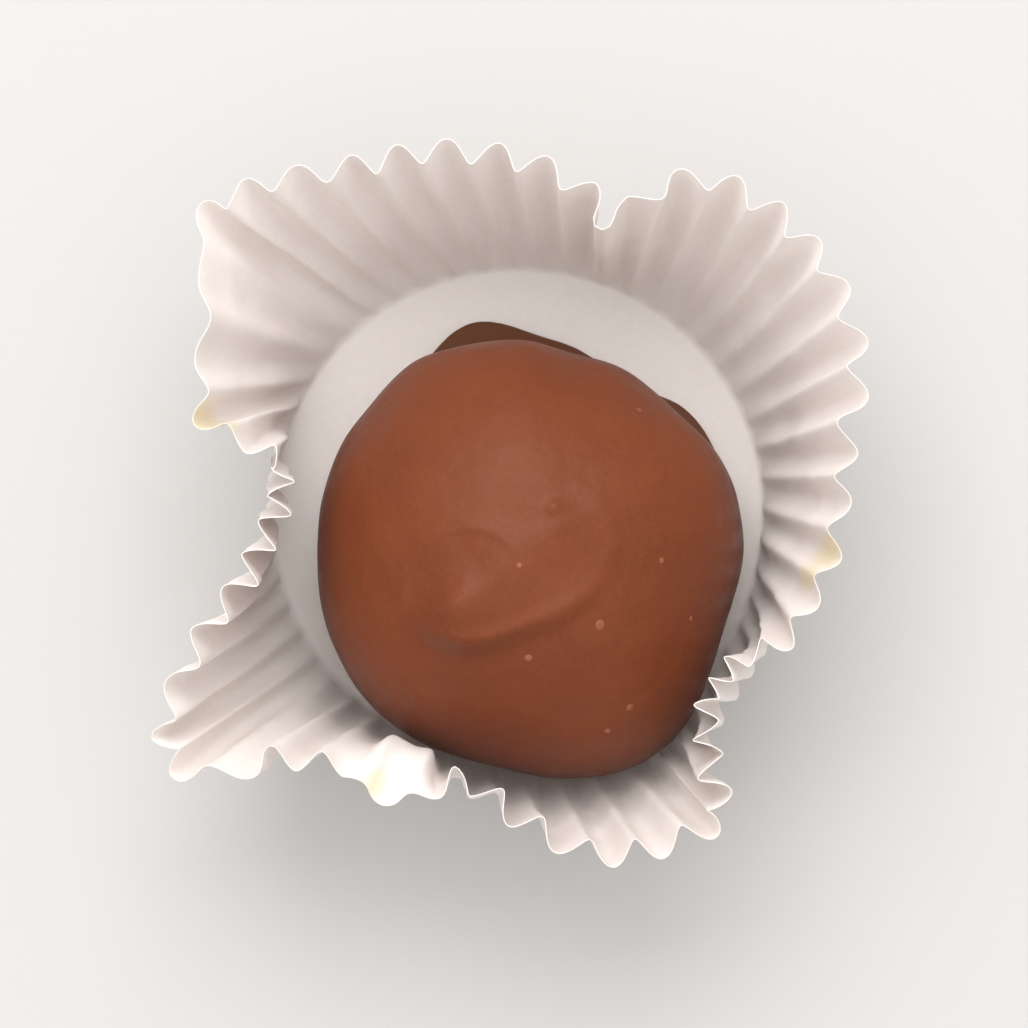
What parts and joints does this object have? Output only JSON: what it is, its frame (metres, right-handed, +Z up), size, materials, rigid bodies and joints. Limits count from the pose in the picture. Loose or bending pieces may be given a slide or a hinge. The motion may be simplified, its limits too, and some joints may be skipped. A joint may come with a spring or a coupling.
{
  "type": "chocolate covered cherry in a paper cup",
  "caption": "Hand-dipped milk chocolate covered cherry with a swirl on top, standing off centre in a bent, fluted white paper candy cup.",
  "frame": {"origin": "centre of the underside of the paper cup's round flat base", "axes": "+Z up, +Y towards the side where the cup's floor shows, which is the top of the picture, +X to the right in the picture"},
  "size_m": [0.0443, 0.045, 0.0213],
  "materials": {
    "chocolate": "hand-dipped milk chocolate, satin with a soft broad shine",
    "paper": "thin white glassine paper, matt, pressed into flutes"
  },
  "bodies": {
    "root": {"chocolate_cherry": "chocolate", "paper_cup": "paper"}
  },
  "joints": []
}
